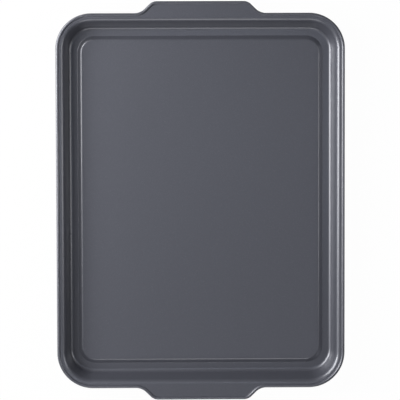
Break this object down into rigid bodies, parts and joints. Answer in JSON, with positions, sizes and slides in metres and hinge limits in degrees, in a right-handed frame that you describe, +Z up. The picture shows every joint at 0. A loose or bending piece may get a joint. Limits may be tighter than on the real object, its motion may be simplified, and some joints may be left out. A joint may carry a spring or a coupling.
{
  "type": "cookie sheet",
  "caption": "Rimmed rectangular non-stick baking sheet with rounded corners, a raised middle panel, a rolled wire rim and a flat grip flange at both short ends.",
  "frame": {"origin": "on the surface that the sheet stands on, under the middle of its outer box", "axes": "+Z up, +Y along the length towards the back handle, +X across the width to the right"},
  "size_m": [0.33, 0.4572, 0.025],
  "materials": {
    "nonstick_coating": "semi-gloss dark blue-grey non-stick coating with a fine metallic flake, on both faces of the steel sheet",
    "wire_steel": "bare drawn steel"
  },
  "bodies": {
    "root": {"pan_shell": "nonstick_coating", "rim_wire": "wire_steel"}
  },
  "joints": []
}
